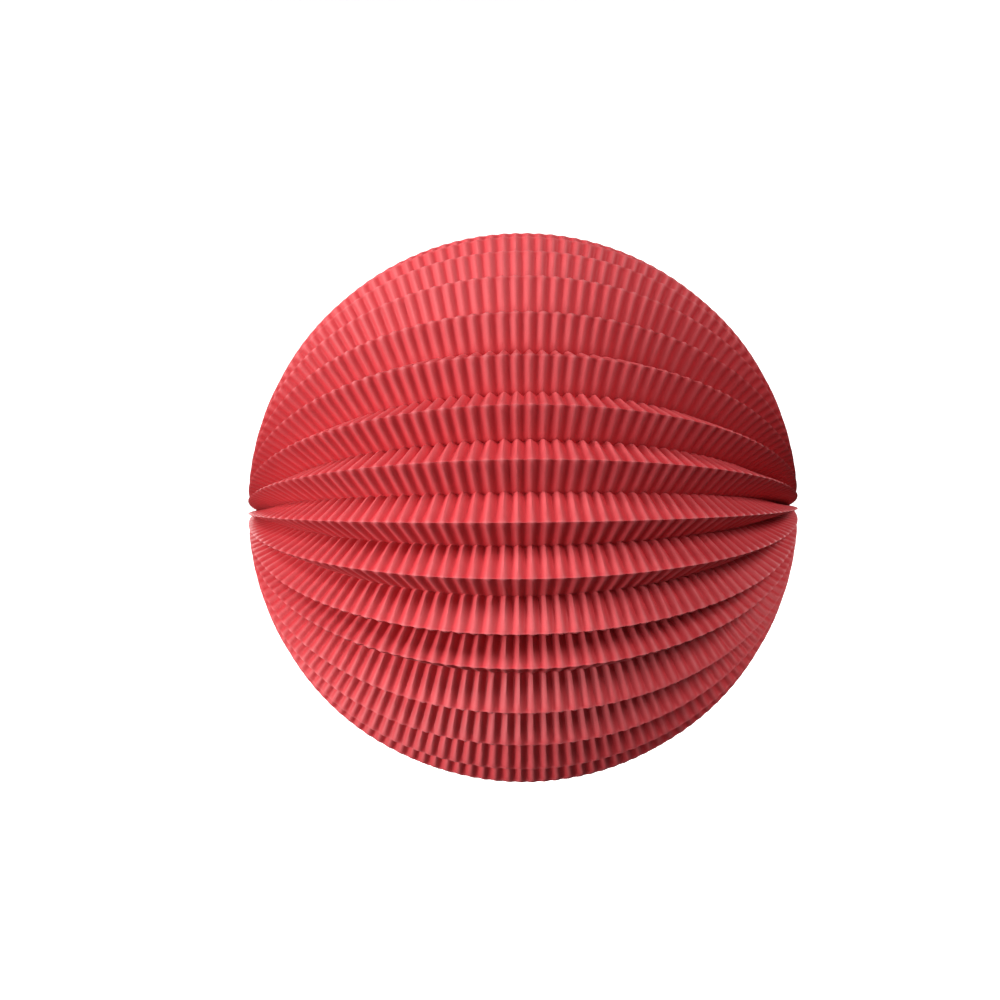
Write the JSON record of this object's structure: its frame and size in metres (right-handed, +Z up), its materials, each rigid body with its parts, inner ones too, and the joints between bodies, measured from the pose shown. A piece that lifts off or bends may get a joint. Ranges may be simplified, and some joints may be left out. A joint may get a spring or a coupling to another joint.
{
  "type": "accordion paper lantern",
  "caption": "Ball-shaped hanging lantern of crimped paper that opens from a flat fan, with a slot at the top, a wire hanger and a candle cup inside.",
  "frame": {"origin": "under the centre of the ball, at the lowest point of the bottom fold", "axes": "+Z up, X along the line through the two poles where every fold ends, -Y is the front"},
  "size_m": [0.22, 0.2198, 0.218],
  "materials": {
    "crimped_paper": "matte",
    "glued_paper": "matte",
    "rim_card": "matte",
    "base_card": "matte",
    "brass": "polished",
    "tin": "satin",
    "wire": "satin"
  },
  "bodies": {
    "bottom": {"fold_bottom": "crimped_paper", "fold_ends_left": "glued_paper", "fold_ends_right": "glued_paper", "base_strip": "base_card", "candle_cup": "tin", "cup_rivets": "brass"},
    "rim_front": {"rim_card_front": "rim_card", "eyelet_front": "brass"},
    "front_17": {"fold_front_17": "crimped_paper"},
    "front_16": {"fold_front_16": "crimped_paper"},
    "front_15": {"fold_front_15": "crimped_paper"},
    "front_14": {"fold_front_14": "crimped_paper"},
    "front_13": {"fold_front_13": "crimped_paper"},
    "front_12": {"fold_front_12": "crimped_paper"},
    "front_11": {"fold_front_11": "crimped_paper"},
    "front_10": {"fold_front_10": "crimped_paper"},
    "front_09": {"fold_front_09": "crimped_paper"},
    "front_08": {"fold_front_08": "crimped_paper"},
    "front_07": {"fold_front_07": "crimped_paper"},
    "front_06": {"fold_front_06": "crimped_paper"},
    "front_05": {"fold_front_05": "crimped_paper"},
    "front_04": {"fold_front_04": "crimped_paper"},
    "front_03": {"fold_front_03": "crimped_paper"},
    "front_02": {"fold_front_02": "crimped_paper"},
    "front_01": {"fold_front_01": "crimped_paper"},
    "back_01": {"fold_back_01": "crimped_paper"},
    "back_02": {"fold_back_02": "crimped_paper"},
    "back_03": {"fold_back_03": "crimped_paper"},
    "back_04": {"fold_back_04": "crimped_paper"},
    "back_05": {"fold_back_05": "crimped_paper"},
    "back_06": {"fold_back_06": "crimped_paper"},
    "back_07": {"fold_back_07": "crimped_paper"},
    "back_08": {"fold_back_08": "crimped_paper"},
    "back_09": {"fold_back_09": "crimped_paper"},
    "back_10": {"fold_back_10": "crimped_paper"},
    "back_11": {"fold_back_11": "crimped_paper"},
    "back_12": {"fold_back_12": "crimped_paper"},
    "back_13": {"fold_back_13": "crimped_paper"},
    "back_14": {"fold_back_14": "crimped_paper"},
    "back_15": {"fold_back_15": "crimped_paper"},
    "back_16": {"fold_back_16": "crimped_paper"},
    "back_17": {"fold_back_17": "crimped_paper"},
    "rim_back": {"rim_card_back": "rim_card", "eyelet_back": "brass"},
    "hanger": {"wire_hanger": "wire"}
  },
  "joints": [
    {"name": "ball_fold", "type": "hinge", "parent": "bottom", "child": "rim_front", "pos_m": [0, 0, 0.11], "axis": [1, 0, 0], "range_deg": [0, 157.75]},
    {"name": "front_17_fold", "type": "hinge", "parent": "bottom", "child": "front_17", "pos_m": [0, 0, 0.11], "axis": [1, 0, 0], "range_deg": [0, 153.25], "deforming": ["fold_front_17"]},
    {"name": "front_16_fold", "type": "hinge", "parent": "bottom", "child": "front_16", "pos_m": [0, 0, 0.11], "axis": [1, 0, 0], "range_deg": [0, 144.23], "deforming": ["fold_front_16"]},
    {"name": "front_15_fold", "type": "hinge", "parent": "bottom", "child": "front_15", "pos_m": [0, 0, 0.11], "axis": [1, 0, 0], "range_deg": [0, 135.22], "deforming": ["fold_front_15"]},
    {"name": "front_14_fold", "type": "hinge", "parent": "bottom", "child": "front_14", "pos_m": [0, 0, 0.11], "axis": [1, 0, 0], "range_deg": [0, 126.2], "deforming": ["fold_front_14"]},
    {"name": "front_13_fold", "type": "hinge", "parent": "bottom", "child": "front_13", "pos_m": [0, 0, 0.11], "axis": [1, 0, 0], "range_deg": [0, 117.19], "deforming": ["fold_front_13"]},
    {"name": "front_12_fold", "type": "hinge", "parent": "bottom", "child": "front_12", "pos_m": [0, 0, 0.11], "axis": [1, 0, 0], "range_deg": [0, 108.18], "deforming": ["fold_front_12"]},
    {"name": "front_11_fold", "type": "hinge", "parent": "bottom", "child": "front_11", "pos_m": [0, 0, 0.11], "axis": [1, 0, 0], "range_deg": [0, 99.16], "deforming": ["fold_front_11"]},
    {"name": "front_10_fold", "type": "hinge", "parent": "bottom", "child": "front_10", "pos_m": [0, 0, 0.11], "axis": [1, 0, 0], "range_deg": [0, 90.15], "deforming": ["fold_front_10"]},
    {"name": "front_09_fold", "type": "hinge", "parent": "bottom", "child": "front_09", "pos_m": [0, 0, 0.11], "axis": [1, 0, 0], "range_deg": [0, 81.13], "deforming": ["fold_front_09"]},
    {"name": "front_08_fold", "type": "hinge", "parent": "bottom", "child": "front_08", "pos_m": [0, 0, 0.11], "axis": [1, 0, 0], "range_deg": [0, 72.12], "deforming": ["fold_front_08"]},
    {"name": "front_07_fold", "type": "hinge", "parent": "bottom", "child": "front_07", "pos_m": [0, 0, 0.11], "axis": [1, 0, 0], "range_deg": [0, 63.1], "deforming": ["fold_front_07"]},
    {"name": "front_06_fold", "type": "hinge", "parent": "bottom", "child": "front_06", "pos_m": [0, 0, 0.11], "axis": [1, 0, 0], "range_deg": [0, 54.09], "deforming": ["fold_front_06"]},
    {"name": "front_05_fold", "type": "hinge", "parent": "bottom", "child": "front_05", "pos_m": [0, 0, 0.11], "axis": [1, 0, 0], "range_deg": [0, 45.08], "deforming": ["fold_front_05"]},
    {"name": "front_04_fold", "type": "hinge", "parent": "bottom", "child": "front_04", "pos_m": [0, 0, 0.11], "axis": [1, 0, 0], "range_deg": [0, 36.06], "deforming": ["fold_front_04"]},
    {"name": "front_03_fold", "type": "hinge", "parent": "bottom", "child": "front_03", "pos_m": [0, 0, 0.11], "axis": [1, 0, 0], "range_deg": [0, 27.05], "deforming": ["fold_front_03"]},
    {"name": "front_02_fold", "type": "hinge", "parent": "bottom", "child": "front_02", "pos_m": [0, 0, 0.11], "axis": [1, 0, 0], "range_deg": [0, 18.03], "deforming": ["fold_front_02"]},
    {"name": "front_01_fold", "type": "hinge", "parent": "bottom", "child": "front_01", "pos_m": [0, 0, 0.11], "axis": [1, 0, 0], "range_deg": [0, 9.02], "deforming": ["fold_front_01"]},
    {"name": "back_01_fold", "type": "hinge", "parent": "bottom", "child": "back_01", "pos_m": [0, 0, 0.11], "axis": [1, 0, 0], "range_deg": [-9.02, 0], "deforming": ["fold_back_01"]},
    {"name": "back_02_fold", "type": "hinge", "parent": "bottom", "child": "back_02", "pos_m": [0, 0, 0.11], "axis": [1, 0, 0], "range_deg": [-18.03, 0], "deforming": ["fold_back_02"]},
    {"name": "back_03_fold", "type": "hinge", "parent": "bottom", "child": "back_03", "pos_m": [0, 0, 0.11], "axis": [1, 0, 0], "range_deg": [-27.05, 0], "deforming": ["fold_back_03"]},
    {"name": "back_04_fold", "type": "hinge", "parent": "bottom", "child": "back_04", "pos_m": [0, 0, 0.11], "axis": [1, 0, 0], "range_deg": [-36.06, 0], "deforming": ["fold_back_04"]},
    {"name": "back_05_fold", "type": "hinge", "parent": "bottom", "child": "back_05", "pos_m": [0, 0, 0.11], "axis": [1, 0, 0], "range_deg": [-45.08, 0], "deforming": ["fold_back_05"]},
    {"name": "back_06_fold", "type": "hinge", "parent": "bottom", "child": "back_06", "pos_m": [0, 0, 0.11], "axis": [1, 0, 0], "range_deg": [-54.09, 0], "deforming": ["fold_back_06"]},
    {"name": "back_07_fold", "type": "hinge", "parent": "bottom", "child": "back_07", "pos_m": [0, 0, 0.11], "axis": [1, 0, 0], "range_deg": [-63.1, 0], "deforming": ["fold_back_07"]},
    {"name": "back_08_fold", "type": "hinge", "parent": "bottom", "child": "back_08", "pos_m": [0, 0, 0.11], "axis": [1, 0, 0], "range_deg": [-72.12, 0], "deforming": ["fold_back_08"]},
    {"name": "back_09_fold", "type": "hinge", "parent": "bottom", "child": "back_09", "pos_m": [0, 0, 0.11], "axis": [1, 0, 0], "range_deg": [-81.13, 0], "deforming": ["fold_back_09"]},
    {"name": "back_10_fold", "type": "hinge", "parent": "bottom", "child": "back_10", "pos_m": [0, 0, 0.11], "axis": [1, 0, 0], "range_deg": [-90.15, 0], "deforming": ["fold_back_10"]},
    {"name": "back_11_fold", "type": "hinge", "parent": "bottom", "child": "back_11", "pos_m": [0, 0, 0.11], "axis": [1, 0, 0], "range_deg": [-99.16, 0], "deforming": ["fold_back_11"]},
    {"name": "back_12_fold", "type": "hinge", "parent": "bottom", "child": "back_12", "pos_m": [0, 0, 0.11], "axis": [1, 0, 0], "range_deg": [-108.18, 0], "deforming": ["fold_back_12"]},
    {"name": "back_13_fold", "type": "hinge", "parent": "bottom", "child": "back_13", "pos_m": [0, 0, 0.11], "axis": [1, 0, 0], "range_deg": [-117.19, 0], "deforming": ["fold_back_13"]},
    {"name": "back_14_fold", "type": "hinge", "parent": "bottom", "child": "back_14", "pos_m": [0, 0, 0.11], "axis": [1, 0, 0], "range_deg": [-126.2, 0], "deforming": ["fold_back_14"]},
    {"name": "back_15_fold", "type": "hinge", "parent": "bottom", "child": "back_15", "pos_m": [0, 0, 0.11], "axis": [1, 0, 0], "range_deg": [-135.22, 0], "deforming": ["fold_back_15"]},
    {"name": "back_16_fold", "type": "hinge", "parent": "bottom", "child": "back_16", "pos_m": [0, 0, 0.11], "axis": [1, 0, 0], "range_deg": [-144.23, 0], "deforming": ["fold_back_16"]},
    {"name": "back_17_fold", "type": "hinge", "parent": "bottom", "child": "back_17", "pos_m": [0, 0, 0.11], "axis": [1, 0, 0], "range_deg": [-153.25, 0], "deforming": ["fold_back_17"]},
    {"name": "back_rim_fold", "type": "hinge", "parent": "bottom", "child": "rim_back", "pos_m": [0, 0, 0.11], "axis": [1, 0, 0], "range_deg": [-157.75, 0]},
    {"name": "hanger_swing", "type": "hinge", "parent": "rim_back", "child": "hanger", "pos_m": [0, 0, 0.21345], "axis": [0, -1, 0], "range_deg": [0, 196]}
  ],
  "couplings": [
    {"joint": "front_17_fold", "follows": "ball_fold", "ratio": 0.97143},
    {"joint": "front_16_fold", "follows": "ball_fold", "ratio": 0.91429},
    {"joint": "front_15_fold", "follows": "ball_fold", "ratio": 0.85714},
    {"joint": "front_14_fold", "follows": "ball_fold", "ratio": 0.8},
    {"joint": "front_13_fold", "follows": "ball_fold", "ratio": 0.74286},
    {"joint": "front_12_fold", "follows": "ball_fold", "ratio": 0.68571},
    {"joint": "front_11_fold", "follows": "ball_fold", "ratio": 0.62857},
    {"joint": "front_10_fold", "follows": "ball_fold", "ratio": 0.57143},
    {"joint": "front_09_fold", "follows": "ball_fold", "ratio": 0.51429},
    {"joint": "front_08_fold", "follows": "ball_fold", "ratio": 0.45714},
    {"joint": "front_07_fold", "follows": "ball_fold", "ratio": 0.4},
    {"joint": "front_06_fold", "follows": "ball_fold", "ratio": 0.34286},
    {"joint": "front_05_fold", "follows": "ball_fold", "ratio": 0.28571},
    {"joint": "front_04_fold", "follows": "ball_fold", "ratio": 0.22857},
    {"joint": "front_03_fold", "follows": "ball_fold", "ratio": 0.17143},
    {"joint": "front_02_fold", "follows": "ball_fold", "ratio": 0.11429},
    {"joint": "front_01_fold", "follows": "ball_fold", "ratio": 0.057143},
    {"joint": "back_01_fold", "follows": "ball_fold", "ratio": -0.057143},
    {"joint": "back_02_fold", "follows": "ball_fold", "ratio": -0.11429},
    {"joint": "back_03_fold", "follows": "ball_fold", "ratio": -0.17143},
    {"joint": "back_04_fold", "follows": "ball_fold", "ratio": -0.22857},
    {"joint": "back_05_fold", "follows": "ball_fold", "ratio": -0.28571},
    {"joint": "back_06_fold", "follows": "ball_fold", "ratio": -0.34286},
    {"joint": "back_07_fold", "follows": "ball_fold", "ratio": -0.4},
    {"joint": "back_08_fold", "follows": "ball_fold", "ratio": -0.45714},
    {"joint": "back_09_fold", "follows": "ball_fold", "ratio": -0.51429},
    {"joint": "back_10_fold", "follows": "ball_fold", "ratio": -0.57143},
    {"joint": "back_11_fold", "follows": "ball_fold", "ratio": -0.62857},
    {"joint": "back_12_fold", "follows": "ball_fold", "ratio": -0.68571},
    {"joint": "back_13_fold", "follows": "ball_fold", "ratio": -0.74286},
    {"joint": "back_14_fold", "follows": "ball_fold", "ratio": -0.8},
    {"joint": "back_15_fold", "follows": "ball_fold", "ratio": -0.85714},
    {"joint": "back_16_fold", "follows": "ball_fold", "ratio": -0.91429},
    {"joint": "back_17_fold", "follows": "ball_fold", "ratio": -0.97143},
    {"joint": "back_rim_fold", "follows": "ball_fold", "ratio": -1}
  ]
}
